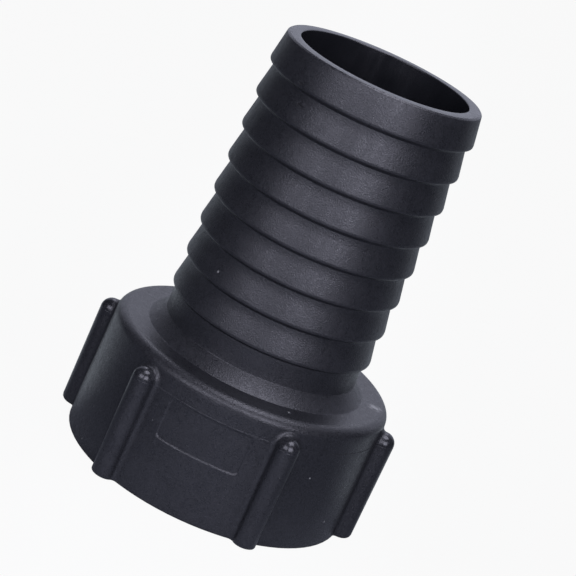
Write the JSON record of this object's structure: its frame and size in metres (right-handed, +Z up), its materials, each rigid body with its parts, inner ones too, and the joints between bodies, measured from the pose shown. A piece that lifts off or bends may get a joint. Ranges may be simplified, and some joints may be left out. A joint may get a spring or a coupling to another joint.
{
  "type": "ibc tap adapter",
  "caption": "Straight adapter for a bulk container's outlet: ribbed screw cap with a coarse internal thread, moulded in one with a barbed hosetail, and a flat washer inside the cap.",
  "frame": {"origin": "on the common axis of cap and hosetail, in the plane of the cap's mouth, which it stands on", "axes": "+Z up the common axis from the cap's mouth to the hosetail's open end; -Y through the middle of the shallow panel on the cap; +X through a grip rib"},
  "size_m": [0.08, 0.0724, 0.1094],
  "materials": {
    "body_plastic": "satin moulded polypropylene, black with a slight blue-grey cast",
    "washer_rubber": "matt black rubber"
  },
  "bodies": {
    "root": {"adapter_body": "body_plastic", "sealing_washer": "washer_rubber"}
  },
  "joints": []
}
